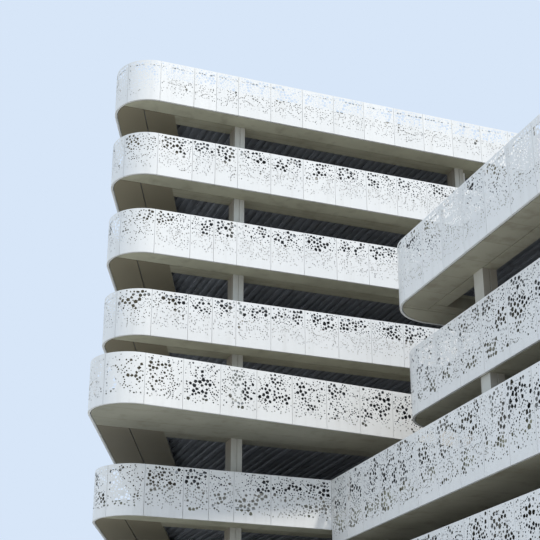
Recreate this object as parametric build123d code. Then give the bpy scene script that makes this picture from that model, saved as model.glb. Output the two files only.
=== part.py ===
from build123d import *
import math
import os

os.makedirs("parts", exist_ok=True)

# Storeys, in millimetres above the ground
FIRST_SOFFIT = 3350
STOREY_HEIGHT = 3000
FLOORS = 8
WING_FLOORS = FLOORS - 3
GARDEN_FLOOR = WING_FLOORS - 1

# Long wing: the origin is the foot of the front column beside its slanted, rounded end
BAY = 9200
LONG_WING_DEPTH = 16000
PROW_OVERHANG = 5185
PROW_LEAN = 20.7
CORNER_RADIUS = 1300

# Garden floor: its front stands out at the rounded end and tapers back to the other floors
GARDEN_REACH = 2080
GARDEN_TAPER = 5.55

# Short wing, which comes forward from the long one: its three lower floors join the long
# wing's front, and its two upper floors end free and reach it over a link further along
SHORT_WING_LENGTH = 20070
SHORT_WING_RADIUS = 1500
LOW_WING_X = 3075
MID_WING_X = 3655
TOP_WING_X = 2805
LINK_X = 9655
MID_END_GAP = 3800
TOP_END_GAP = 4950
LOW_EDGE_DROP = 520
MID_EDGE_DROP = 450
TOP_EDGE_DROP = 370

# Decks: a flat border of edge strip and beam, and ribs under a thin slab inside it. Open
# joints part the strips, which reach lower round the short wing
DECK_DEPTH = 500
SLAB_THICKNESS = 100
RIB_SETBACK = 100
RIB_WIDTH = 140
RIBS_PER_BAY = 8
SIDE_STRIP = 1100
SIDE_BEAM = 1100
SHADOW_JOINT = 35
SHADOW_JOINT_DEPTH = 35
MOVEMENT_JOINT = 20

# Columns: front overhang is from the screen's face to the column's face
FRONT_OVERHANG = 800
COLUMN_WIDTH = 390
COLUMN_DEPTH = 600
SHORT_WING_OVERHANG = 970
SHORT_COLUMN_WIDTH = 450
SHORT_COLUMN_DEPTH = 500
SHORT_WING_END_OVERHANG = 4150
LOW_OVERHANG = 2940
LOW_COLUMN_WIDTH = 750
LOW_BAY = 6700
GROOVE_WIDTH = 40
GROOVE_DEPTH = 20

# Screens, the rails that hold them off the deck edge, and the concrete parapets behind
SCREEN_HEIGHT = 1650
SCREEN_DEPTH = 40
SCREEN_JOINT = 12
RAIL_DEPTH = 60
RAIL_HEIGHT = 60
RAIL_SETBACK = 40
CORNER_CLIP = 160
PARAPET_HEIGHT = 550
PARAPET_THICKNESS = 150

# Square rainwater pipe beside the second front column
PIPE_WIDTH = 90
PIPE_CLEARANCE = 170
PIPE_SHOE = 150

# Plan lines that follow from the sizes above
FRONT_Y = -(COLUMN_DEPTH / 2 + FRONT_OVERHANG)
REAR_Y = FRONT_Y + LONG_WING_DEPTH
REAR_ROW_Y = REAR_Y - FRONT_OVERHANG - COLUMN_DEPTH / 2
END_X = 2 * BAY + COLUMN_WIDTH / 2 + FRONT_OVERHANG
WING_FRONT_Y = FRONT_Y - SHORT_WING_LENGTH
LEAN = math.tan(math.radians(PROW_LEAN))
TAPER = math.tan(math.radians(GARDEN_TAPER))
DECK_INSET = SCREEN_DEPTH + RAIL_DEPTH
DECK_SEAM = 2 * DECK_INSET - MOVEMENT_JOINT


def soffit(floor):
    """Height of the flat border's underside, which is also the foot of the screens."""
    return FIRST_SOFFIT + (floor - 1) * STOREY_HEIGHT


def deck_top(floor):
    return soffit(floor) + DECK_DEPTH if floor else 0


def side_x(y):
    """The slanted side of the long wing."""
    return -PROW_OVERHANG + (y - FRONT_Y) * LEAN


def front_corner(floor, x=None):
    """A point on a floor's front line, by default where that meets the slanted side."""
    reach = GARDEN_REACH if floor == GARDEN_FLOOR else 0
    slope = TAPER if floor == GARDEN_FLOOR else 0
    if x is None:
        y = FRONT_Y - reach / (1 - LEAN * slope)
        return side_x(y), y
    return x, FRONT_Y - reach + (x + PROW_OVERHANG) * slope


def wing_place(floor):
    """Side line, free rear end and extra edge depth of the short wing on a floor."""
    if floor < GARDEN_FLOOR:
        return LOW_WING_X, FRONT_Y, LOW_EDGE_DROP
    if floor == GARDEN_FLOOR:
        return MID_WING_X, FRONT_Y - MID_END_GAP, MID_EDGE_DROP
    return TOP_WING_X, FRONT_Y - TOP_END_GAP, TOP_EDGE_DROP


def long_wing(floor):
    """Plan corners (x, y, radius) of the long wing, anticlockwise from the rounded end."""
    end_radius = 0 if floor <= WING_FLOORS else CORNER_RADIUS
    return [
        (*front_corner(floor), CORNER_RADIUS),
        (*front_corner(floor, END_X), end_radius),
        (END_X, REAR_Y, CORNER_RADIUS),
        (side_x(REAR_Y), REAR_Y, CORNER_RADIUS),
    ]


def short_wing(floor):
    """Plan corners of the short wing, with its rear side last but one."""
    wing_x, end_y, _ = wing_place(floor)
    free = floor >= GARDEN_FLOOR
    return [
        (wing_x, WING_FRONT_Y, SHORT_WING_RADIUS),
        (END_X, WING_FRONT_Y, SHORT_WING_RADIUS),
        (END_X, end_y + (0 if free else DECK_SEAM), 0),
        (wing_x, end_y + (0 if free else DECK_SEAM), SHORT_WING_RADIUS if free else 0),
    ]


def link(floor):
    """Plan corners of the deck that joins the free-ended floors to the long wing."""
    end_y = wing_place(floor)[1] - DECK_SEAM
    left_x, left_y = front_corner(floor, LINK_X)
    right_x, right_y = front_corner(floor, END_X)
    return [
        (LINK_X, end_y, 0),
        (END_X, end_y, 0),
        (right_x, right_y + DECK_SEAM, 0),
        (left_x, left_y + DECK_SEAM, 0),
    ]


def outline(floor):
    """Plan corners of a whole floor, where its screens run."""
    long_corners = long_wing(floor)
    if floor > WING_FLOORS:
        return long_corners
    wing_x, end_y, _ = wing_place(floor)
    corners = [long_corners[0]]
    if floor < GARDEN_FLOOR:
        corners += [(*front_corner(floor, wing_x), 0)]
    else:
        corners += [(*front_corner(floor, LINK_X), 0), (LINK_X, end_y, 0)]
        corners += [(wing_x, end_y, SHORT_WING_RADIUS)]
    corners += short_wing(floor)[:2]
    return corners + long_corners[2:]


def side_lines(corners):
    """Unit direction of each side, from its corner to the next."""
    following = corners[1:] + corners[:1]
    for (x, y, _), (next_x, next_y, _) in zip(corners, following):
        length = math.hypot(next_x - x, next_y - y)
        yield (next_x - x) / length, (next_y - y) / length


def inset(corners, distances):
    """Moves each side inwards by its distance and keeps rounded corners concentric."""
    if not isinstance(distances, list):
        distances = [distances] * len(corners)
    sides = list(side_lines(corners))
    moved = []
    for index, (x, y, radius) in enumerate(corners):
        (ax, ay), (bx, by) = sides[index - 1], sides[index]
        before, after = distances[index - 1], distances[index]
        cosine = ax * bx + ay * by
        along_a = (before - cosine * after) / (1 - cosine**2)
        along_b = (after - cosine * before) / (1 - cosine**2)
        moved_x = x - ay * along_a - by * along_b
        moved_y = y + ax * along_a + bx * along_b
        moved.append((moved_x, moved_y, max(radius - max(before, after), 0)))
    return moved


def square(corners):
    """The same plan without its rounded corners."""
    return [(x, y, 0) for x, y, _ in corners]


def plan(corners):
    """Flat face with the given corners, each rounded by its own radius."""
    face = make_face(Polyline([(x, y) for x, y, _ in corners], close=True))
    for x, y, radius in corners:
        if radius > 0:
            corner = face.vertices().sort_by_distance((x, y, 0))[0]
            face = fillet(corner, radius)
    return face


def plan_box(x_range, y_range):
    """Rectangle between two x values and two y values."""
    (x0, x1), (y0, y1) = x_range, y_range
    return Pos((x0 + x1) / 2, (y0 + y1) / 2) * Rectangle(x1 - x0, y1 - y0)


def raised(face, bottom, top):
    return extrude(Pos(0, 0, bottom) * face, top - bottom, dir=(0, 0, 1))


def side_slots(corners, distances, sides, reach=0):
    """Open joints along some sides of a plan, each at its own distance inside its side.
    They end at the joints of the sides next to them, or run on past them by a reach."""
    ends = inset(corners, distances)
    slots = []
    for side in sides:
        (x0, y0, _), (x1, y1, _) = ends[side], ends[(side + 1) % len(ends)]
        angle = math.atan2(y1 - y0, x1 - x0)
        length = math.hypot(x1 - x0, y1 - y0) + 2 * reach
        x = (x0 + x1) / 2 - math.sin(angle) * SHADOW_JOINT / 2
        y = (y0 + y1) / 2 + math.cos(angle) * SHADOW_JOINT / 2
        slot = Rectangle(length, SHADOW_JOINT)
        slots.append(Pos(x, y) * Rot(0, 0, math.degrees(angle)) * slot)
    return slots


def turns(corners):
    """For each corner: its angle of turn and the length that its rounding takes from
    each side."""
    sides = list(side_lines(corners))
    for index, (_, _, radius) in enumerate(corners):
        (ax, ay), (bx, by) = sides[index - 1], sides[index]
        turn = math.atan2(ax * by - ay * bx, ax * bx + ay * by)
        yield turn, radius * math.tan(abs(turn) / 2)


def wall_runs(corners, outer, inner):
    """Plan of a wall between two insets, in straight runs and rounded corner pieces."""
    wall = plan(inset(corners, outer)) - plan(inset(corners, inner))
    middle = (outer + inner) / 2
    slot = Rectangle(SCREEN_JOINT, 2 * (inner - outer))
    sides = list(side_lines(corners))
    for index, (x, y, radius) in enumerate(corners):
        tangent = list(turns(corners))[index][1]
        before = -tangent if radius else -SCREEN_JOINT / 2
        for (ux, uy), shift in ((sides[index - 1], before), (sides[index], tangent)):
            if radius or shift < 0:
                at = Pos(x + ux * shift - uy * middle, y + uy * shift + ux * middle)
                wall -= at * Rot(0, 0, math.degrees(math.atan2(uy, ux))) * slot
    return wall


def rail_runs(corners, outer, inner):
    """Plan of a rail between two insets: a bar along each straight side, and a short
    clip in the middle of each rounded corner."""
    middle, depth = (outer + inner) / 2, inner - outer
    rounding = list(turns(corners))
    sides = list(side_lines(corners))
    rail = Sketch()
    for index, (x, y, radius) in enumerate(corners):
        following = (index + 1) % len(corners)
        ux, uy = sides[index]
        length = math.dist((x, y), corners[following][:2])
        first = rounding[index][1] + SCREEN_JOINT
        last = length - rounding[following][1] - SCREEN_JOINT
        centre = (first + last) / 2
        at = Pos(x + ux * centre - uy * middle, y + uy * centre + ux * middle)
        bar = Rectangle(last - first, depth)
        rail += at * Rot(0, 0, math.degrees(math.atan2(uy, ux))) * bar
        if radius:
            half_turn = rounding[index][0] / 2
            heading = math.atan2(*reversed(sides[index - 1])) + half_turn
            away = radius / math.cos(half_turn) - radius + middle
            at = Pos(x - math.sin(heading) * away, y + math.cos(heading) * away)
            block = at * Rot(0, 0, math.degrees(heading)) * Rectangle(CORNER_CLIP, 2 * depth)
            rail += (plan(inset(corners, outer)) - plan(inset(corners, inner))) & block
    return rail


def band(floor, pieces, inner, heights, wing_heights):
    """Raises the plan of a wall or rail that follows a floor's edge from one height to
    another. Round the short wing it has heights of its own, or is left out."""
    if floor > WING_FLOORS:
        return [raised(pieces, *heights)]
    wing_x, end_y, _ = wing_place(floor)
    rear_y = end_y + (inner if floor < GARDEN_FLOOR else 0)
    joint = SCREEN_JOINT
    zone = plan_box((wing_x, END_X), (WING_FRONT_Y, rear_y))
    wider = plan_box((wing_x - joint, END_X + joint), (WING_FRONT_Y, rear_y + joint))
    runs = [raised(pieces - wider, *heights)]
    if wing_heights:
        runs.append(raised(pieces & zone, *wing_heights))
    return runs


def ribbed_deck(edge, frame, borders, floor):
    """Deck inside an edge plan, with a flat border to the given distances inside the
    frame's plan, and ribs that carry the slab inside the border."""
    bottom, top = soffit(floor), deck_top(floor)
    ceiling = plan(square(inset(frame, borders)))
    box = ceiling.bounding_box()
    pitch = BAY / RIBS_PER_BAY
    first, last = math.ceil(box.min.X / pitch), math.floor(box.max.X / pitch)
    half = RIB_WIDTH / 2
    ribs = [
        plan_box((number * pitch - half, number * pitch + half), (box.min.Y, box.max.Y))
        for number in range(first, last + 1)
    ]
    deck = raised(plan(inset(edge, DECK_INSET)), bottom, top)
    deck -= raised(ceiling, bottom, bottom + RIB_SETBACK)
    return deck - raised(ceiling - ribs, bottom + RIB_SETBACK, top - SLAB_THICKNESS)


def wing_borders(floor):
    """Widths of edge strip and beam on the short wing's front, right, rear and left."""
    low = floor < GARDEN_FLOOR
    strips = [SHORT_WING_OVERHANG] * 3 + [LOW_OVERHANG if low else SHORT_WING_OVERHANG]
    beams = [SHORT_COLUMN_DEPTH, SHORT_COLUMN_WIDTH, SHORT_COLUMN_DEPTH]
    beams.append(LOW_COLUMN_WIDTH if low else SHORT_COLUMN_WIDTH)
    return strips, [strip + beam for strip, beam in zip(strips, beams)]


def decks(floor):
    """The long wing's deck, with open joints cut in its border, and on the lower floors
    the short wing's deck and the link between the two."""
    strips = [FRONT_OVERHANG] * 3 + [SIDE_STRIP]
    borders = [FRONT_OVERHANG + COLUMN_DEPTH] * 3 + [SIDE_STRIP + SIDE_BEAM]
    frame = long_wing(floor if floor != GARDEN_FLOOR else floor + 1)
    deck = ribbed_deck(long_wing(floor), frame, borders, floor)
    joints = side_slots(frame, strips, (0, 2), LONG_WING_DEPTH)
    joints += side_slots(frame, strips, (1, 3))
    for joint in joints:
        deck -= raised(joint, soffit(floor), soffit(floor) + SHADOW_JOINT_DEPTH)
    if floor > WING_FLOORS:
        return [deck]
    wing = short_wing(floor)
    floors = [deck, ribbed_deck(wing, wing, wing_borders(floor)[1], floor)]
    if floor >= GARDEN_FLOOR:
        borders = [SHORT_WING_OVERHANG + SHORT_COLUMN_WIDTH] * 4
        floors.append(ribbed_deck(link(floor), link(floor), borders, floor))
    return floors


def wing_edge(floor):
    """Deep border under the short wing's deck: edge strips and beams, with open joints.
    The front and rear ones run through and the side ones stand between them."""
    corners = short_wing(floor)
    strips, borders = wing_borders(floor)
    border = plan(inset(corners, DECK_INSET)) - plan(square(inset(corners, borders)))
    border -= side_slots(corners, strips, (0, 2), LOW_OVERHANG)
    border -= side_slots(corners, strips, (1, 3))
    beam_ends = [borders[0], strips[1], borders[2], strips[3]]
    border -= side_slots(corners, beam_ends, (0, 2))
    return [raised(border, soffit(floor) - wing_place(floor)[2], soffit(floor))]


def column(x, y, width, depth, foot, head):
    """Rectangular column with an upright groove in the middle of its front face."""
    section = Rectangle(width, depth)
    section -= Pos(0, -depth / 2 + GROOVE_DEPTH / 2) * Rectangle(GROOVE_WIDTH, GROOVE_DEPTH)
    return raised(Pos(x, y) * section, foot, head)


def columns(floor):
    """Columns of the storey below a floor."""
    foot, head = deck_top(floor - 1), soffit(floor)
    rear_x = side_x(REAR_ROW_Y) + (SIDE_STRIP + SIDE_BEAM / 2) * math.hypot(1, LEAN)
    grid = [(x, 0) for x in (0, BAY, 2 * BAY)]
    grid += [(x, REAR_ROW_Y) for x in (rear_x, BAY, 2 * BAY)]
    posts = [column(x, y, COLUMN_WIDTH, COLUMN_DEPTH, foot, head) for x, y in grid]
    if floor > WING_FLOORS:
        return posts
    head -= wing_place(floor)[2]
    front_row = WING_FRONT_Y + SHORT_WING_OVERHANG + SHORT_COLUMN_DEPTH / 2
    low_rows = [front_row + row * LOW_BAY for row in range(3)]
    right_x = END_X - SHORT_WING_OVERHANG - SHORT_COLUMN_WIDTH / 2
    left_x = TOP_WING_X + SHORT_WING_OVERHANG + SHORT_COLUMN_WIDTH / 2
    left_width, left_rows = SHORT_COLUMN_WIDTH, []
    if floor < GARDEN_FLOOR:
        left_x = LOW_WING_X + LOW_OVERHANG + LOW_COLUMN_WIDTH / 2
        left_width, left_rows = LOW_COLUMN_WIDTH, low_rows
    else:
        corner_row = WING_FRONT_Y + SHORT_WING_RADIUS + SHORT_COLUMN_DEPTH / 2
        left_rows = [corner_row, FRONT_Y - TOP_END_GAP - SHORT_WING_END_OVERHANG]
    for y in left_rows:
        posts.append(column(left_x, y, left_width, SHORT_COLUMN_DEPTH, foot, head))
    for y in low_rows:
        posts.append(column(right_x, y, SHORT_COLUMN_WIDTH, SHORT_COLUMN_DEPTH, foot, head))
    return posts


def screens(floor):
    foot, top = soffit(floor), soffit(floor) + SCREEN_HEIGHT
    runs = wall_runs(outline(floor), 0, SCREEN_DEPTH)
    wing_foot = foot - wing_place(floor)[2]
    return band(floor, runs, SCREEN_DEPTH, (foot, top), (wing_foot, top))


def rails(floor):
    """Bottom rail a little above the foot of the screens, and top rail along the deck's
    upper edge."""
    runs = rail_runs(outline(floor), SCREEN_DEPTH, DECK_INSET)
    foot, head = soffit(floor) + RAIL_SETBACK, deck_top(floor)
    wing_foot = foot - wing_place(floor)[2]
    low = (foot, foot + RAIL_HEIGHT)
    wing_low = (wing_foot, wing_foot + RAIL_HEIGHT)
    high = (head - RAIL_HEIGHT, head)
    bottom_rail = band(floor, runs, DECK_INSET, low, wing_low)
    return bottom_rail + band(floor, runs, DECK_INSET, high, high)


def parapet(floor):
    """Low concrete walls behind the screens, along the straight edges of the long wing."""
    foot, inner = deck_top(floor), DECK_INSET + PARAPET_THICKNESS
    runs = wall_runs(outline(floor), DECK_INSET, inner).faces()
    straight = [run for run in runs if not run.edges().filter_by(GeomType.CIRCLE)]
    return band(floor, Sketch() + straight, inner, (foot, foot + PARAPET_HEIGHT), None)


def downpipe():
    """One length of pipe in each storey of the long wing."""
    at = Pos(BAY + COLUMN_WIDTH / 2 + PIPE_CLEARANCE, 0)
    lengths = []
    for floor in range(1, FLOORS + 1):
        foot = deck_top(floor - 1) or PIPE_SHOE
        lengths.append(raised(at * Rectangle(PIPE_WIDTH, PIPE_WIDTH), foot, soffit(floor)))
    return lengths


def save(shapes, node):
    """Writes the solids of one node, each apart from the others."""
    solids = [solid for shape in shapes for solid in shape.solids()]
    export_step(Compound(children=solids), f"parts/{node}.step")


for floor in range(1, FLOORS + 1):
    save(decks(floor), f"deck_{floor}")
    save(columns(floor), f"columns_{floor}")
    save(screens(floor), f"screens_{floor}")
    save(rails(floor), f"rails_{floor}")
    if floor <= WING_FLOORS:
        save(wing_edge(floor), f"wing_edge_{floor}")
    if floor != GARDEN_FLOOR:
        save(parapet(floor), f"parapet_{floor}")
save(downpipe(), "downpipe")
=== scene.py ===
import math
import random

import bpy
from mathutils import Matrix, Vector
from mathutils.geometry import delaunay_2d_cdt


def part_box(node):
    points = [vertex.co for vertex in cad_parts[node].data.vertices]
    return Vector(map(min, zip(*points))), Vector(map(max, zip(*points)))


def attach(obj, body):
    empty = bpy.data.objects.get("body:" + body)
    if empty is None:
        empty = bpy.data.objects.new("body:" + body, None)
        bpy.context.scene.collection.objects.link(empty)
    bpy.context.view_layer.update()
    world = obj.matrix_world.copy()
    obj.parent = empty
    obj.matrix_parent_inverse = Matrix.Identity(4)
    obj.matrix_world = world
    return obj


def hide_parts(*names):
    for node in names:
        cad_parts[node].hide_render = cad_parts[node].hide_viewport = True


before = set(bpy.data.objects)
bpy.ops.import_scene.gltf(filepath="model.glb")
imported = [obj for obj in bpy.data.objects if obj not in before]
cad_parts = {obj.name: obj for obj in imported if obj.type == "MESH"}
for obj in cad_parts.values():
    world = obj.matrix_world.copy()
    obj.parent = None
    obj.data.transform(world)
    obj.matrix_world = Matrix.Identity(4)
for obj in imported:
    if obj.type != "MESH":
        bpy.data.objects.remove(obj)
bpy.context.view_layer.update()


# Decks: the cast concrete floors of both wings. Each has a smooth flat border and ribs inside
# it, left as they came from the formwork, with straight joints, stains of rain, and darker beams
# along the edges.
def add_node(tree, kind, inputs=None, **settings):
    """Adds a shader node, with its settings, and the values or links of its inputs."""
    node = tree.nodes.new("ShaderNode" + kind)
    for name, value in settings.items():
        setattr(node, name, value)
    for socket, value in (inputs or {}).items():
        if isinstance(value, bpy.types.NodeSocket):
            tree.links.new(value, node.inputs[socket])
        else:
            node.inputs[socket].default_value = value
    return node


def blend_colours(tree, mask, first, second):
    """Colour that goes from the first to the second as the mask rises."""
    inputs = {"Factor": mask, 6: first, 7: second}
    return add_node(tree, "Mix", inputs, data_type="RGBA").outputs[2]


def masked_range(tree, value, low, high, to_low=0.0, to_high=1.0):
    """Stretches the part of a value between low and high, and holds it flat outside."""
    inputs = {"Value": value, "From Min": low, "From Max": high}
    inputs.update({"To Min": to_low, "To Max": to_high})
    return add_node(tree, "MapRange", inputs).outputs["Result"]


def add_math(tree, operation, *values):
    """Result of one step of arithmetic on links or numbers."""
    return add_node(tree, "Math", dict(enumerate(values)), operation=operation).outputs[0]


def start_group(name, inputs, outputs):
    """Empty shader group with plain number inputs and outputs, and its object coordinates."""
    group = bpy.data.node_groups.new(name, "ShaderNodeTree")
    for socket in inputs:
        group.interface.new_socket(socket, in_out="INPUT", socket_type="NodeSocketFloat")
    for socket in outputs:
        group.interface.new_socket(socket, in_out="OUTPUT", socket_type="NodeSocketFloat")
    sources = group.nodes.new("NodeGroupInput")
    results = group.nodes.new("NodeGroupOutput")
    place = add_node(group, "TexCoord").outputs["Object"]
    return group, sources, results, place


STREAK_SQUEEZE = 0.07
GRAIN_SCALE = 55.0


def weathering_group():
    """Soft blotches, rain streaks that hang down an upright face, and fine grain."""
    inputs = ("Blotch Scale", "Streak Scale")
    outputs = ("Blotches", "Streaks", "Grain")
    group, sources, results, place = start_group("weathering", inputs, outputs)
    blotch_inputs = {"Vector": place, "Scale": sources.outputs[0], "Detail": 6.0}
    blotches = add_node(group, "TexNoise", blotch_inputs)
    squeezed = add_node(group, "Mapping", {"Vector": place, "Scale": (1.0, 1.0, STREAK_SQUEEZE)})
    streak_inputs = {"Vector": squeezed.outputs[0], "Scale": sources.outputs[1], "Detail": 4.0}
    streaks = add_node(group, "TexNoise", streak_inputs)
    grain = add_node(group, "TexNoise", {"Vector": place, "Scale": GRAIN_SCALE, "Detail": 3.0})
    for socket, source in zip(outputs, (blotches, streaks, grain)):
        group.links.new(source.outputs["Fac"], results.inputs[socket])
    return group


BOARD_HALF = 0.5
BOARD_LINE = 0.03


def formwork_group():
    """Boards of the formwork: a thin line at each edge, and a tone that differs per board."""
    group, sources, results, place = start_group("formwork", ("Board Width",), ("Edges", "Tone"))
    depth = add_node(group, "SeparateXYZ", {"Vector": place}).outputs["Y"]
    board = add_math(group, "DIVIDE", depth, sources.outputs[0])
    centred = add_math(group, "SUBTRACT", add_math(group, "FRACT", board), BOARD_HALF)
    away = add_math(group, "ABSOLUTE", centred)
    edges = masked_range(group, away, BOARD_HALF - BOARD_LINE, BOARD_HALF)
    group.links.new(edges, results.inputs["Edges"])
    number = add_math(group, "FLOOR", board)
    tone = add_node(group, "TexWhiteNoise", {"W": number}, noise_dimensions="1D")
    group.links.new(tone.outputs["Value"], results.inputs["Tone"])
    return group


SLANT = math.radians(20.7)
CORNER_RADIUS = 1.3
SLANTED_BORDER = 2.2
EDGE_STRIP = 0.8
STRIP_BLUR = 0.03
BORDER_BLUR = 0.02
STRAIGHT_DARKENING = 0.35
top_low, top_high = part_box("screens_8")
front_y, rear_y, end_x = top_low.y, top_high.y, top_high.x
corner_x = top_low.x + CORNER_RADIUS - CORNER_RADIUS / math.tan(math.pi / 4 - SLANT / 2)


def side_x(y):
    """The slanted side of the long wing."""
    return corner_x + (y - front_y) * math.tan(SLANT)


def darker_beams_group():
    """Beams inside the pale edge strips, painted darker: a little along the front and rear ones,
    fully along the slanted side, which is found from the distance to its line."""
    group, _, results, place = start_group("darker_beams", (), ("Mask",))
    inward = (math.cos(SLANT), -math.sin(SLANT), 0)
    inputs = {0: place, 1: inward}
    along = add_node(group, "VectorMath", inputs, operation="DOT_PRODUCT").outputs["Value"]
    edge = corner_x * math.cos(SLANT) - front_y * math.sin(SLANT) + SLANTED_BORDER
    near = masked_range(group, along, edge + BORDER_BLUR, edge - BORDER_BLUR, STRAIGHT_DARKENING, 1.0)
    depth = add_node(group, "SeparateXYZ", {"Vector": place}).outputs["Y"]
    front_strip, rear_strip = front_y + EDGE_STRIP, rear_y - EDGE_STRIP
    past_front = masked_range(group, depth, front_strip, front_strip + STRIP_BLUR)
    short_of_rear = masked_range(group, depth, rear_strip, rear_strip - STRIP_BLUR)
    between = add_math(group, "MULTIPLY", past_front, short_of_rear)
    group.links.new(add_math(group, "MULTIPLY", between, near), results.inputs["Mask"])
    return group


weathering = weathering_group()
formwork = formwork_group()
BOARD_TONE_SHARE = 0.22
BOARD_LINE_SHARE = 0.35
PORE_DEPTH = 0.006


def concrete(name, pale, dark, stain, board_width, stain_share=0.6, darkening=None, darkening_share=0.0):
    """Cast concrete with blotches, formwork boards, brown rain stains and open pores. A
    group can mark places that are painted darker, such as painted shade on the columns' sides."""
    material = bpy.data.materials.new(name)
    material.use_nodes = True
    tree = material.node_tree
    shader = tree.nodes["Principled BSDF"]
    marks = add_node(tree, "Group", node_tree=weathering)
    marks.inputs["Blotch Scale"].default_value = 0.55
    marks.inputs["Streak Scale"].default_value = 2.2
    boards = add_node(tree, "Group", node_tree=formwork)
    boards.inputs["Board Width"].default_value = board_width
    blotch = masked_range(tree, marks.outputs["Blotches"], 0.36, 0.66)
    colour = blend_colours(tree, blotch, pale, dark)
    tone = masked_range(tree, boards.outputs["Tone"], 0.0, 1.0, 0.0, BOARD_TONE_SHARE)
    colour = blend_colours(tree, tone, colour, dark)
    wet = masked_range(tree, marks.outputs["Streaks"], 0.52, 0.72, 0.0, stain_share)
    colour = blend_colours(tree, wet, colour, stain)
    edge = masked_range(tree, boards.outputs["Edges"], 0.0, 1.0, 0.0, BOARD_LINE_SHARE)
    colour = blend_colours(tree, edge, colour, stain)
    # A group's mask darkens places towards the stain colour; on the columns' sides this is painted
    # shade.
    if darkening:
        mask = add_node(tree, "Group", node_tree=darkening).outputs["Mask"]
        share = masked_range(tree, mask, 0.0, 1.0, 0.0, darkening_share)
        colour = blend_colours(tree, share, colour, stain)
    tree.links.new(colour, shader.inputs["Base Color"])
    rough = masked_range(tree, marks.outputs["Blotches"], 0.3, 0.7, 0.92, 0.74)
    tree.links.new(rough, shader.inputs["Roughness"])
    shader.inputs["Specular IOR Level"].default_value = 0.35
    height = add_math(tree, "SUBTRACT", marks.outputs["Grain"], boards.outputs["Edges"])
    bump_inputs = {"Height": height, "Strength": 0.35, "Distance": PORE_DEPTH}
    bump = add_node(tree, "Bump", bump_inputs)
    tree.links.new(bump.outputs["Normal"], shader.inputs["Normal"])
    return material


def dress(node, *materials):
    """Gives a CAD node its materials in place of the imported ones."""
    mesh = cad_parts[node].data
    mesh.materials.clear()
    for material in materials:
        mesh.materials.append(material)


darker_beams = darker_beams_group()
soffit_concrete = concrete(
    "soffit_concrete",
    pale=(0.575, 0.565, 0.43, 1),
    dark=(0.47, 0.458, 0.345, 1),
    stain=(0.255, 0.225, 0.155, 1),
    board_width=1.2,
    stain_share=0.35,
    darkening=darker_beams,
    darkening_share=1.0,
)
garden_concrete = concrete(
    "garden_concrete",
    pale=(0.425, 0.415, 0.335, 1),
    dark=(0.35, 0.34, 0.27, 1),
    stain=(0.215, 0.19, 0.14, 1),
    board_width=1.2,
    stain_share=0.35,
    darkening=darker_beams,
    darkening_share=0.9,
)
# The ceiling's darker, bluish tone is painted shade for the deep shade under the decks and in the
# joints.
shaded_ceiling_concrete = concrete(
    "shaded_ceiling_concrete",
    pale=(0.27, 0.285, 0.32, 1),
    dark=(0.20, 0.212, 0.24, 1),
    stain=(0.15, 0.15, 0.155, 1),
    board_width=0.6,
)
driven_concrete = concrete(
    "driven_concrete",
    pale=(0.34, 0.335, 0.31, 1),
    dark=(0.25, 0.245, 0.23, 1),
    stain=(0.15, 0.14, 0.125, 1),
    board_width=4.6,
)
# Faces are told apart by height. The deck's rim is the underside, the roofs of the joints and
# the ribs go with the darker ceiling, whose tone is painted shade, and the wheels run on the top
GARDEN_LEVEL = 4
RECESS = 0.05
JOINT_ROOF = 0.03
UNDERSIDE, CEILING, TOP = range(3)
levels = range(1, 9)
for level in levels:
    node = f"deck_{level}"
    underside = garden_concrete if level == GARDEN_LEVEL else soffit_concrete
    dress(node, underside, shaded_ceiling_concrete, driven_concrete)
    low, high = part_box(node)
    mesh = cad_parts[node].data
    for face in mesh.polygons:
        heights = [mesh.vertices[index].co.z for index in face.vertices]
        if min(heights) > high.z - RECESS:
            face.material_index = TOP
        elif min(heights) > low.z + JOINT_ROOF and max(heights) < high.z - RECESS:
            face.material_index = CEILING
        else:
            face.material_index = UNDERSIDE


# Wing edges: the deep concrete strips and beams that run under the rim of the short wing's
# decks. They are cast with the deck, in lengths parted by straight open joints, and stained.
wing_levels = range(1, 6)
edge_concrete = concrete(
    "edge_concrete",
    pale=(0.43, 0.41, 0.32, 1),
    dark=(0.335, 0.317, 0.24, 1),
    stain=(0.22, 0.187, 0.13, 1),
    board_width=1.2,
    stain_share=0.45,
)
for level in wing_levels:
    node = f"wing_edge_{level}"
    dress(node, edge_concrete, shaded_ceiling_concrete)
    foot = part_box(node)[0].z
    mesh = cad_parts[node].data
    for face in mesh.polygons:
        heights = [mesh.vertices[index].co.z for index in face.vertices]
        # The roofs of the open joints take the ceiling's darker tone, painted shade in the joints.
        joint_roof = min(heights) > foot + JOINT_ROOF and max(heights) < foot + RECESS
        face.material_index = CEILING if joint_roof else UNDERSIDE


# Columns: smooth cast posts, one storey tall, with a groove down the middle of the front face.
# They stand on each deck and carry the flat border of the one above.
COLUMN_HEAD = 0.8
HEAD_DAMP = 0.35
SIDE_SHADE = 0.65
SIDE_FACING = (0.6, 0.9)
WING_BLUR = 0.1


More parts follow.
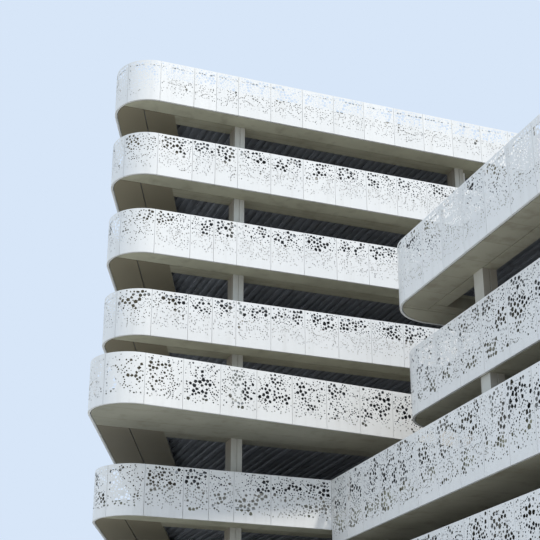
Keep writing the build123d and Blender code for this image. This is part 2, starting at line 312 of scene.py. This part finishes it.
def column_stain_and_side_shade_group():
    """Painted shade on the sides of the columns, and a stain at the heads under each deck.
    The sides of the short wing's columns face along it."""
    group, _, results, place = start_group("column_stain_and_side_shade", (), ("Mask",))
    first_soffit, next_soffit = (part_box(f"deck_{level}")[0].z for level in (1, 2))
    storey = next_soffit - first_soffit
    spot = add_node(group, "SeparateXYZ", {"Vector": place})
    above = add_math(group, "SUBTRACT", spot.outputs["Z"], first_soffit)
    share = add_math(group, "FRACT", add_math(group, "DIVIDE", above, storey))
    head = masked_range(group, share, 1 - COLUMN_HEAD / storey, 1.0, 0.0, HEAD_DAMP)
    facing = add_node(group, "NewGeometry").outputs["Normal"]
    apart = add_node(group, "SeparateXYZ", {"Vector": facing})
    across = add_math(group, "ABSOLUTE", apart.outputs["X"])
    along = add_math(group, "ABSOLUTE", apart.outputs["Y"])
    on_short_wing = masked_range(group, spot.outputs["Y"], front_y, front_y - WING_BLUR)
    inputs = {"Factor": on_short_wing, 2: across, 3: along}
    sideways = add_node(group, "Mix", inputs, data_type="FLOAT").outputs[0]
    # Faces turned sideways get painted shade, darker than the front faces.
    side = masked_range(group, sideways, *SIDE_FACING, 0.0, SIDE_SHADE)
    group.links.new(add_math(group, "ADD", head, side), results.inputs["Mask"])
    return group


column_concrete = concrete(
    "column_concrete",
    pale=(0.60, 0.60, 0.55, 1),
    dark=(0.48, 0.465, 0.41, 1),
    stain=(0.24, 0.195, 0.14, 1),
    board_width=3.0,
    stain_share=0.5,
    darkening=column_stain_and_side_shade_group(),
    darkening_share=0.8,
)
for level in levels:
    dress(f"columns_{level}", column_concrete)


# Parapets: low cast walls along the straight deck edges of the long wing, behind the screens.
# They stop the cars, and their pale concrete shows through the holes.
parapet_concrete = concrete(
    "parapet_concrete",
    pale=(0.56, 0.54, 0.49, 1),
    dark=(0.46, 0.44, 0.39, 1),
    stain=(0.30, 0.26, 0.21, 1),
    board_width=2.4,
    stain_share=0.4,
)
for level in levels:
    if f"parapet_{level}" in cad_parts:
        dress(f"parapet_{level}", parapet_concrete)


# Screens: sheets of white powder-coated aluminium that wrap every floor, one panel beside the
# next. Each has folded edges, the deepest at its foot, and is punched with uneven holes in tight
# knots, short chains and fine scatter.
WING_RADIUS = 1.5
GARDEN_REACH = 2.08
GARDEN_TAPER = math.radians(5.55)
LINK_X = 9.655
DECK_INSET = 0.1
SCREEN_DEPTH = 0.04
FOOT_LIP = 0.075
PANEL_WIDTH = 1.268
NARROW_PANEL = 0.85
PANEL_GAP = 0.013
ARC_STEP = 0.11
WING_SIDE_REACH = 0.5
WING_REAR_REACH = 0.01


def wing_place(level):
    """Side, front and rear lines of the short wing on a level, from its edge beams."""
    low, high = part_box(f"wing_edge_{level}")
    rear = front_y if level < GARDEN_LEVEL else high.y + DECK_INSET
    return low.x - DECK_INSET, low.y - DECK_INSET, rear


def floor_plan(level):
    """Corners (x, y, radius) of a level's screens, anticlockwise from the slanted end."""
    reach = GARDEN_REACH if level == GARDEN_LEVEL else 0
    slope = math.tan(GARDEN_TAPER) if level == GARDEN_LEVEL else 0
    start_y = front_y - reach / (1 - math.tan(SLANT) * slope)
    plan = [(side_x(start_y), start_y, CORNER_RADIUS)]
    if level in wing_levels:
        wing_x, wing_y, wing_rear = wing_place(level)
        if level < GARDEN_LEVEL:
            plan += [(wing_x, front_y, 0)]
        else:
            link_y = front_y - reach + (LINK_X - corner_x) * slope
            plan += [(LINK_X, link_y, 0), (LINK_X, wing_rear, 0), (wing_x, wing_rear, WING_RADIUS)]
        plan += [(wing_x, wing_y, WING_RADIUS), (end_x, wing_y, WING_RADIUS), (end_x, wing_rear, 0)]
    else:
        plan += [(end_x, front_y, CORNER_RADIUS)]
    return plan + [(end_x, rear_y, CORNER_RADIUS), (side_x(rear_y), rear_y, CORNER_RADIUS)]


def straight_place(start, along):
    """Place function of a straight stretch: a point and the outward direction there."""
    outward = Vector((along.y, -along.x))
    return lambda u, inset: (start + along * u - outward * inset, outward)


def round_place(centre, radius, first_angle):
    """The same of a rounded stretch."""
    def place(u, inset):
        angle = first_angle + u / radius
        outward = Vector((math.cos(angle), math.sin(angle)))
        return centre + outward * (radius - inset), outward

    return place


def stretches(plan):
    """Straight and rounded stretches of a plan: each a length, whether it is rounded, and a
    function from a distance along it and an inset to a point and the outward direction."""
    points = [Vector((x, y)) for x, y, _ in plan]
    corners = []
    for index, (_, _, radius) in enumerate(plan):
        before = (points[index] - points[index - 1]).normalized()
        after = (points[(index + 1) % len(plan)] - points[index]).normalized()
        turn = math.atan2(before.x * after.y - before.y * after.x, before.dot(after))
        corners.append((before, after, turn, radius * math.tan(abs(turn) / 2)))
    found = []
    for index, (_, _, radius) in enumerate(plan):
        before, after, turn, cut = corners[index]
        if radius:
            tangent = points[index] - before * cut
            centre = tangent + Vector((-before.y, before.x)) * radius
            first_angle = math.atan2(-before.x, before.y)
            found.append((radius * turn, True, round_place(centre, radius, first_angle)))
        following = (index + 1) % len(plan)
        length = (points[following] - points[index]).length - cut - corners[following][3]
        found.append((length, False, straight_place(points[index] + after * cut, after)))
    return found


def panel_widths(length, first):
    """Widths of the panels along a stretch. The long wing's front starts with given ones."""
    rest = length - sum(first)
    count = max(1, round(rest / PANEL_WIDTH))
    if first:
        whole = int(rest / PANEL_WIDTH)
        return list(first) + [PANEL_WIDTH] * (whole - 1) + [rest - (whole - 1) * PANEL_WIDTH]
    return [rest / count] * count


def screen_panels(level):
    """Every panel of a level: where it starts on its stretch, width, foot and top heights,
    whether it is rounded, and the stretch's place function."""
    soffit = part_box(f"deck_{level}")[0].z
    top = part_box(f"screens_{level}")[1].z
    panels = []
    for number, (length, rounded, place) in enumerate(stretches(floor_plan(level))):
        foot = soffit
        if level in wing_levels:
            wing_x, _, wing_rear = wing_place(level)
            middle = place(length / 2, 0)[0]
            beside = middle.x > wing_x - WING_SIDE_REACH
            if beside and middle.y < wing_rear + WING_REAR_REACH:
                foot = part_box(f"wing_edge_{level}")[0].z
        first = ()
        if number == 1 and level != GARDEN_LEVEL:
            first = (PANEL_WIDTH, NARROW_PANEL, NARROW_PANEL)
        elif number == 1:
            first = (PANEL_WIDTH,)
        start = 0
        for width in panel_widths(length, first):
            panels.append((start, width, foot, top, rounded, place))
            start += width
    return panels


# The lowest strip of each sheet is left whole. A kind of hole has a least and a largest radius
BLANK_FOOT = 0.24
LARGE_HOLE = (0.050, 0.076)
MIDDLE_HOLE = (0.026, 0.043)
SMALL_HOLE = (0.011, 0.019)
JOINT_MARGIN = 0.022
WEB = 0.005
CELL = 0.15
KNOT_MARGIN = 0.1
KNOT_TRIES = 5
KNOT_REACH = 5
KNOT_SPREAD = (0.7, 1.1)
KNOT_GAP = (0.001, 0.008)
BEAD_SPREAD = (0.75, 1.15)
BEAD_GAP = (0.001, 0.01)
LARGE_BEADS, LARGE_SHRINK, LARGE_BEND = (2, 5), (0.85, 1.0), 0.8
SMALL_BEADS, SMALL_SHRINK, SMALL_BEND = (3, 9), (0.93, 1.0), 0.5

# How many of each a square metre gets, how they lean to the foot and to the top, and their size
TOP_HEAVY = {
    "knots": 1.5, "knot_holes": (6, 11), "knot_drop": (0.1, 0.36),
    "large_chains": 2.5, "large_chain_lean": (1.0, 3.5), "large_chain_size": 0.8,
    "chains": 5.0, "chain_lean": (1.2, 1.9), "chain_size": 0.7,
    "scatter": 110, "scatter_lean": (1.3, 1.8), "scatter_size": 0.55, "scatter_growth": 0.35,
    "specks": 30, "speck_lean": (1.1, 1.2),
}
EVEN = {
    "knots": 1.6, "knot_holes": (6, 12), "knot_lean": (1.1, 1.6),
    "large_chains": 4.0, "large_chain_lean": (1.0, 1.2), "large_chain_size": 0.9,
    "chains": 7.5, "chain_lean": (1.2, 1.3), "chain_size": 1.0,
    "scatter": 85, "scatter_lean": (1.3, 1.3), "scatter_size": 0.75, "scatter_growth": 0.0,
    "specks": 34, "speck_lean": (1.1, 1.2),
}


class Punch:
    """Holes of one panel. A new one is kept where it clears the edges and all the others."""

    def __init__(self, rng, width, height):
        self.rng = rng
        self.width = width
        self.height = height
        self.holes = []
        self.cells = {}

    def add(self, u, v, radius):
        """Keeps a hole if there is room for it, and says whether it did."""
        side = JOINT_MARGIN + radius
        if not (side < u < self.width - side and BLANK_FOOT + radius < v < self.height - side):
            return False
        column, row = int(u / CELL), int(v / CELL)
        for i in (column - 1, column, column + 1):
            for j in (row - 1, row, row + 1):
                for x, y, other in self.cells.get((i, j), ()):
                    if math.hypot(u - x, v - y) < radius + other + WEB:
                        return False
        self.cells.setdefault((column, row), []).append((u, v, radius))
        self.holes.append((u, v, radius))
        return True

    def knot(self, u, v, count, radius):
        """Tight knot of large holes, each grown beside one of the last few."""
        grown = []
        for _ in range(KNOT_TRIES * count):
            size = radius * self.rng.uniform(*KNOT_SPREAD)
            x, y = u, v
            if grown:
                x, y, beside = self.rng.choice(grown[-KNOT_REACH:])
                heading = self.rng.uniform(0, math.tau)
                reach = beside + size + WEB + self.rng.uniform(*KNOT_GAP)
                x += math.cos(heading) * reach
                y += math.sin(heading) * reach
            if self.add(x, y, size):
                grown.append((x, y, size))
            if len(grown) == count:
                break

    def chain(self, u, v, count, radius, shrink, bend):
        """Beads in a curved line, each close to the last."""
        heading = self.rng.uniform(0, math.tau)
        curl = self.rng.uniform(-bend, bend)
        for _ in range(count):
            size = radius * self.rng.uniform(*BEAD_SPREAD)
            self.add(u, v, size)
            heading += curl + self.rng.uniform(-bend, bend) / 2
            stride = 2 * size + WEB + self.rng.uniform(*BEAD_GAP)
            u += math.cos(heading) * stride
            v += math.sin(heading) * stride
            radius *= shrink


def punched_holes(rng, width, height, recipe, density):
    """Holes of a panel: knots of large ones, chains of smaller ones, and fine scatter. A
    recipe with a knot drop keeps its knots at the top of the sheet."""
    punch = Punch(rng, width, height)
    area = width * (height - BLANK_FOOT) * density

    def height_at(low_weight, high_weight):
        return BLANK_FOOT + rng.betavariate(high_weight, low_weight) * (height - BLANK_FOOT)

    for _ in range(round(area * recipe["knots"])):
        if "knot_drop" in recipe:
            v = height - rng.uniform(*recipe["knot_drop"])
        else:
            v = height_at(*recipe["knot_lean"])
        count = rng.randint(*recipe["knot_holes"])
        u = rng.uniform(KNOT_MARGIN, width - KNOT_MARGIN)
        punch.knot(u, v, count, rng.uniform(*LARGE_HOLE))
    for _ in range(round(area * recipe["large_chains"])):
        v = height_at(*recipe["large_chain_lean"])
        size = rng.uniform(MIDDLE_HOLE[1], LARGE_HOLE[1]) * recipe["large_chain_size"]
        u, count = rng.uniform(0, width), rng.randint(*LARGE_BEADS)
        punch.chain(u, v, count, size, rng.uniform(*LARGE_SHRINK), LARGE_BEND)
    for _ in range(round(area * recipe["chains"])):
        v = height_at(*recipe["chain_lean"])
        size = rng.uniform(*MIDDLE_HOLE) * recipe["chain_size"]
        u, count = rng.uniform(0, width), rng.randint(*SMALL_BEADS)
        punch.chain(u, v, count, size, rng.uniform(*SMALL_SHRINK), SMALL_BEND)
    for _ in range(round(area * recipe["scatter"])):
        v = height_at(*recipe["scatter_lean"])
        share = (v - BLANK_FOOT) / (height - BLANK_FOOT)
        growth = recipe["scatter_size"] + recipe["scatter_growth"] * share
        size = rng.uniform(*MIDDLE_HOLE) * growth
        punch.add(rng.uniform(0, width), v, size)
    for _ in range(round(area * recipe["specks"])):
        u = rng.uniform(0, width)
        punch.add(u, height_at(*recipe["speck_lean"]), rng.uniform(*SMALL_HOLE))
    return punch.holes


LARGE_CORNERS = (4, 5, 5)
OTHER_CORNERS = (4, 4, 5)
LARGE_SPREAD = (0.92, 1.18)
OTHER_SPREAD = (0.84, 1.14)
CORNER_JITTER = 0.22


def hole_outline(rng, u, v, radius):
    """Uneven polygon with sharp corners, more of them on a larger hole."""
    large = radius > MIDDLE_HOLE[1]
    corners = rng.choice(LARGE_CORNERS if large else OTHER_CORNERS)
    turn = rng.uniform(0, math.tau)
    outline = []
    for index in range(corners):
        jitter = rng.uniform(-CORNER_JITTER, CORNER_JITTER)
        angle = turn + (index + jitter) * math.tau / corners
        reach = radius * rng.uniform(*(LARGE_SPREAD if large else OTHER_SPREAD))
        outline.append((u + math.cos(angle) * reach, v + math.sin(angle) * reach))
    return outline


def edge_points(start, end, rounded):
    """Distances along a panel at which its upper and lower edges have a point."""
    count = max(1, math.ceil((end - start) / ARC_STEP)) if rounded else 1
    return [start + (end - start) * index / count for index in range(count + 1)]


# Points inside a rounded sheet's blank foot keep its long triangles on the curve. The whole
# sheet is cut into triangles, each with a list of the holes that it lies in
FOOT_ROWS = (0.125, 0.25)
MERGE = 1e-6
WHOLE_SHEET = 0


def sheet_mesh(name, panels, recipe, rounded_density):
    """One mesh of punched sheets. Each has its edges folded back to the rail."""
    points, normals, faces, tones = [], [], [], []

    def put(place, u, v, inset, normal=None):
        point, outward = place(u, inset)
        points.append((point.x, point.y, v))
        normals.append(normal or (outward.x, outward.y, 0))
        return len(points) - 1

    for number, (start, width, foot, top, rounded, place) in enumerate(panels):
        rng = random.Random(f"{name} {number}")
        tone = rng.random()
        first = len(points)
        low, high = PANEL_GAP / 2, width - PANEL_GAP / 2
        height = top - foot
        edge = edge_points(low, high, rounded)
        rim = [(u, 0) for u in edge] + [(u, height) for u in reversed(edge)]
        flat = [Vector(point) for point in rim]
        lines = [(index, (index + 1) % len(rim)) for index in range(len(rim))]
        rings = []
        density = rounded_density if rounded else 1.0
        for u, v, radius in punched_holes(rng, width, height, recipe, density):
            outline = hole_outline(rng, u, v, radius)
            rings.append(list(range(len(flat), len(flat) + len(outline))))
            flat += [Vector(point) for point in outline]
        if rounded:
            rows = [height * share for share in FOOT_ROWS]
            flat += [Vector((u, v)) for u in edge[1:-1] for v in rows if v < BLANK_FOOT]
        cut = delaunay_2d_cdt(flat, lines, rings, WHOLE_SHEET, MERGE, True)
        flat_points, triangles, holes_of = cut[0], cut[2], cut[5]
        index_of = [put(place, start + at.x, foot + at.y, 0) for at in flat_points]
        for triangle, in_holes in zip(triangles, holes_of):
            if not in_holes:
                faces.append([index_of[index] for index in triangle])
        for height_at, facing, depth in ((foot, -1, FOOT_LIP), (top, 1, SCREEN_DEPTH)):
            strip = [
                (put(place, start + u, height_at, 0, (0, 0, facing)),
                 put(place, start + u, height_at, depth, (0, 0, facing)))
                for u in edge
            ]
            for (a, b), (c, d) in zip(strip, strip[1:]):
                faces.append([a, c, d, b] if facing > 0 else [a, b, d, c])
        for u, facing in ((low, -1), (high, 1)):
            outward = place(start + u, 0)[1]
            normal = (-outward.y * facing, outward.x * facing, 0)
            a, b = put(place, start + u, foot, 0, normal), put(place, start + u, top, 0, normal)
            d = put(place, start + u, foot, SCREEN_DEPTH, normal)
            c = put(place, start + u, top, SCREEN_DEPTH, normal)
            faces.append([a, b, c, d] if facing < 0 else [a, d, c, b])
        tones += [tone] * (len(points) - first)
    mesh = bpy.data.meshes.new(name)
    mesh.from_pydata(points, [], faces)
    mesh.polygons.foreach_set("use_smooth", [True] * len(mesh.polygons))
    mesh.normals_split_custom_set_from_vertices(normals)
    mesh.attributes.new("panel_tone", "FLOAT", "POINT").data.foreach_set("value", tones)
    return mesh


def white_coating():
    """Satin white powder coat, a little different per sheet, with faint dust and rain runs."""
    material = bpy.data.materials.new("white_coating")
    material.use_nodes = True
    tree = material.node_tree
    shader = tree.nodes["Principled BSDF"]
    marks = add_node(tree, "Group", node_tree=weathering)
    marks.inputs["Blotch Scale"].default_value = 0.8
    marks.inputs["Streak Scale"].default_value = 5.0
    tone = add_node(tree, "Attribute", attribute_name="panel_tone").outputs["Fac"]
    colour = blend_colours(tree, tone, (0.81, 0.81, 0.795, 1), (0.86, 0.855, 0.835, 1))
    dust = masked_range(tree, marks.outputs["Streaks"], 0.5, 0.75, 0.0, 0.30)
    colour = blend_colours(tree, dust, colour, (0.66, 0.65, 0.62, 1))
    tree.links.new(colour, shader.inputs["Base Color"])
    rough = masked_range(tree, marks.outputs["Blotches"], 0.3, 0.7, 0.36, 0.52)
    tree.links.new(rough, shader.inputs["Roughness"])
    bump_inputs = {"Height": marks.outputs["Blotches"], "Strength": 0.12, "Distance": 0.01}
    bump = add_node(tree, "Bump", bump_inputs)
    tree.links.new(bump.outputs["Normal"], shader.inputs["Normal"])
    return material


GARDEN_ROUNDED_DENSITY = 0.5
ROUNDED_DENSITY = 0.85
coating = white_coating()
panels_of = {level: screen_panels(level) for level in levels}
for level in levels:
    name = f"screen_sheets_{level}"
    rounded_density = GARDEN_ROUNDED_DENSITY if level == GARDEN_LEVEL else ROUNDED_DENSITY
    recipe = TOP_HEAVY if level > GARDEN_LEVEL else EVEN
    mesh = sheet_mesh(name, panels_of[level], recipe, rounded_density)
    mesh.materials.append(coating)
    sheets = bpy.data.objects.new(name, mesh)
    bpy.context.collection.objects.link(sheets)
    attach(sheets, "root")
    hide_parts(f"screens_{level}")


# Screen frame: mill-finish aluminium behind the sheets. The CAD rails run along the deck edge,
# and a post at each joint and a light rail near the top hold the sheets upright.
POST_WIDTH = 0.05
POST_INSET = (0.045, 0.095)
TOP_RAIL_DROP = 0.14
TOP_RAIL_HEIGHT = 0.05


def rail_metal():
    """Dull aluminium with soft blotches of oxide and a fine brushed roughness."""
    material = bpy.data.materials.new("rail_metal")
    material.use_nodes = True
    tree = material.node_tree
    shader = tree.nodes["Principled BSDF"]
    marks = add_node(tree, "Group", node_tree=weathering)
    marks.inputs["Blotch Scale"].default_value = 2.5
    marks.inputs["Streak Scale"].default_value = 9.0
    blotch = masked_range(tree, marks.outputs["Blotches"], 0.35, 0.7)
    colour = blend_colours(tree, blotch, (0.66, 0.67, 0.67, 1), (0.50, 0.51, 0.51, 1))
    dust = masked_range(tree, marks.outputs["Streaks"], 0.5, 0.75, 0.0, 0.4)
    colour = blend_colours(tree, dust, colour, (0.38, 0.36, 0.33, 1))
    tree.links.new(colour, shader.inputs["Base Color"])
    rough = masked_range(tree, marks.outputs["Grain"], 0.3, 0.7, 0.38, 0.6)
    tree.links.new(rough, shader.inputs["Roughness"])
    shader.inputs["Metallic"].default_value = 0.6
    bump_inputs = {"Height": marks.outputs["Grain"], "Strength": 0.1, "Distance": 0.002}
    bump = add_node(tree, "Bump", bump_inputs)
    tree.links.new(bump.outputs["Normal"], shader.inputs["Normal"])
    return material


aluminium = rail_metal()


def swept_box(points, faces, ring_places, bottom, top, insets):
    """Adds a box section that follows places along a stretch, closed at both ends."""
    rings = []
    for place, u in ring_places:
        near, far = place(u, insets[0])[0], place(u, insets[1])[0]
        rings.append(len(points))
        points += [(near.x, near.y, bottom), (near.x, near.y, top)]
        points += [(far.x, far.y, top), (far.x, far.y, bottom)]
    for a, b in zip(rings, rings[1:]):
        for side in range(4):
            following = (side + 1) % 4
            faces.append([a + side, b + side, b + following, a + following])
    faces.append([rings[0] + side for side in range(4)])
    faces.append([rings[-1] + side for side in (3, 2, 1, 0)])


def add_swept_piece(name, points, faces, material):
    """Piece of one material that rides on the building."""
    mesh = bpy.data.meshes.new(name)
    mesh.from_pydata(points, [], faces)
    mesh.materials.append(material)
    piece = bpy.data.objects.new(name, mesh)
    bpy.context.collection.objects.link(piece)
    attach(piece, "root")
    return piece


for level in levels:
    dress(f"rails_{level}", aluminium)
    deck_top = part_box(f"deck_{level}")[1].z
    points, faces = [], []
    for start, width, foot, top, rounded, place in panels_of[level]:
        low, high = start, start + width
        middle = low + POST_WIDTH / 2 + PANEL_GAP
        ends = [(place, middle - POST_WIDTH / 2), (place, middle + POST_WIDTH / 2)]
        rail_top = top - TOP_RAIL_DROP
        swept_box(points, faces, ends, deck_top, top - SCREEN_DEPTH, POST_INSET)
        line = [(place, u) for u in edge_points(low, high, rounded)]
        insets = (SCREEN_DEPTH, POST_INSET[0])
        swept_box(points, faces, line, rail_top - TOP_RAIL_HEIGHT, rail_top, insets)
    posts = add_swept_piece(f"screen_posts_{level}", points, faces, aluminium)


# Ceiling ribs: the close, shallow ribs of the ribbed soffit between the deck's main ribs, cast
# on ribbed liners. They run from border to border, and end along the slant at the rounded end.
FRONT_BORDER = 1.4
WING_END_BORDER = 1.47
WING_SIDE_BORDER = 1.42
LOW_WING_BORDER = 3.69
DECK_SEAM = 0.18
MAIN_RIB_PITCH = 1.15
RIBS_BETWEEN = 3
RIB_WIDTH = 0.12
RIB_FLANK = 0.03
RIB_FOOT = 0.14
RIB_ROOT = 0.20
SUNK = 0.005


def ceilings(level):
    """Recesses of a level: lowest and highest x, and the first and last y at an x."""
    def long_wing_recess(x):
        slanted = front_y + (x - corner_x - SLANTED_BORDER / math.cos(SLANT)) / math.tan(SLANT)
        return front_y + FRONT_BORDER, min(rear_y - FRONT_BORDER, slanted)

    left = corner_x + FRONT_BORDER * math.tan(SLANT) + SLANTED_BORDER / math.cos(SLANT)
    found = [(left, end_x - FRONT_BORDER, long_wing_recess)]
    if level in wing_levels:
        wing_x, wing_y, wing_rear = wing_place(level)
        joined = level < GARDEN_LEVEL
        left = wing_x + (LOW_WING_BORDER if joined else WING_SIDE_BORDER)
        rear = wing_rear + (DECK_SEAM if joined else 0) - WING_END_BORDER
        found.append((left, end_x - WING_SIDE_BORDER, lambda x: (wing_y + WING_END_BORDER, rear)))
    return found


def rib_profile(left, right):
    """Across the ribs: pairs of x and height over the soffit, with no rib over a main one."""
    pitch = MAIN_RIB_PITCH / (RIBS_BETWEEN + 1)
    foot, flank = RIB_WIDTH / 2, RIB_WIDTH / 2 + RIB_FLANK
    profile = [(left - SUNK, RIB_ROOT)]
    for number in range(math.ceil((left + flank) / pitch), math.ceil((right - flank) / pitch)):
        if number % (RIBS_BETWEEN + 1):
            middle = number * pitch
            profile += [(middle - flank, RIB_ROOT), (middle - foot, RIB_FOOT)]
            profile += [(middle + foot, RIB_FOOT), (middle + flank, RIB_ROOT)]
    return profile + [(right + SUNK, RIB_ROOT)]


for level in levels:
    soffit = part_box(f"deck_{level}")[0].z
    points, faces = [], []
    for left, right, reach in ceilings(level):
        first = len(points)
        for x, height in rib_profile(left, right):
            front, rear = reach(x)
            z = soffit + height
            points += [(x, front - SUNK, z), (x, max(rear, front) + SUNK, z)]
        for corner in range(first, len(points) - 2, 2):
            faces.append([corner, corner + 1, corner + 3, corner + 2])
    # The ribs take the ceiling's darker tone, painted shade under the deck.
    ribs = add_swept_piece(f"ceiling_ribs_{level}", points, faces, shaded_ceiling_concrete)


# Rainwater pipe: a square steel pipe beside the second front column, a length in each storey.
# It is painted a pale grey, which rain has worn in streaks.
pipe_paint = bpy.data.materials.new("pipe_paint")
pipe_paint.use_nodes = True
paint_tree = pipe_paint.node_tree
paint_shader = paint_tree.nodes["Principled BSDF"]
paint_marks = add_node(paint_tree, "Group", node_tree=weathering)
paint_marks.inputs["Blotch Scale"].default_value = 3.0
paint_marks.inputs["Streak Scale"].default_value = 12.0
worn = masked_range(paint_tree, paint_marks.outputs["Streaks"], 0.45, 0.75, 0.0, 0.6)
pipe_colour = blend_colours(paint_tree, worn, (0.80, 0.79, 0.76, 1), (0.50, 0.48, 0.44, 1))
paint_tree.links.new(pipe_colour, paint_shader.inputs["Base Color"])
paint_shader.inputs["Roughness"].default_value = 0.5
dress("downpipe", pipe_paint)


# Stage: a plain pale floor, a pale sky-like surround and one soft sun. The camera stands where
# the photographer stood, and looks up at the rounded end.
FLOOR_REACH = 400
FLOOR_HEIGHT = -0.002
corners = ((-1, -1), (1, -1), (1, 1), (-1, 1))
floor_points = [(x * FLOOR_REACH, y * FLOOR_REACH, FLOOR_HEIGHT) for x, y in corners]
floor_mesh = bpy.data.meshes.new("studio_floor")
floor_mesh.from_pydata(floor_points, [], [(0, 1, 2, 3)])
floor_paint = bpy.data.materials.new("pale_floor")
floor_paint.use_nodes = True
floor_shader = floor_paint.node_tree.nodes["Principled BSDF"]
floor_shader.inputs["Base Color"].default_value = (0.56, 0.555, 0.53, 1)
floor_shader.inputs["Roughness"].default_value = 0.9
floor_mesh.materials.append(floor_paint)
studio_floor = bpy.data.objects.new("studio_floor", floor_mesh)
bpy.context.collection.objects.link(studio_floor)

world = bpy.data.worlds.new("pale_surround")
world.use_nodes = True
background = world.node_tree.nodes["Background"]
background.inputs["Color"].default_value = (0.68, 0.79, 0.94, 1)
background.inputs["Strength"].default_value = 1.0
bpy.context.scene.world = world
bpy.context.scene.view_settings.view_transform = "Standard"

SUN_DIRECTION = (-0.32, 0.43, -0.845)
sun = bpy.data.lights.new("soft_sun", "SUN")
sun.energy = 2.6
sun.angle = math.radians(6)
sun.color = (1.0, 0.95, 0.87)
sun_object = bpy.data.objects.new("soft_sun", sun)
sun_object.rotation_euler = Vector(SUN_DIRECTION).to_track_quat("-Z", "Y").to_euler()
bpy.context.collection.objects.link(sun_object)

# The eye stands 1.6 m above the ground, to the left of the building, and looks up. The lens
# is the photograph's, less the large upward shift that no other view could keep
EYE = (-12.205, -36.68, 1.6)
BEARING = math.radians(20.22)
PITCH = math.radians(21.6)
FRAME_PIXELS = 540
FOCAL_PIXELS = 1180
LENS_SHIFT = 0.085
camera = bpy.data.cameras.new("photo_camera")
camera.sensor_width = 36
camera.lens = FOCAL_PIXELS * camera.sensor_width / FRAME_PIXELS
camera.shift_y = LENS_SHIFT
camera.clip_end = 1000
camera_object = bpy.data.objects.new("photo_camera", camera)
camera_object.location = EYE
camera_object.rotation_euler = (math.pi / 2 + PITCH, 0, -BEARING)
bpy.context.collection.objects.link(camera_object)
bpy.context.scene.camera = camera_object
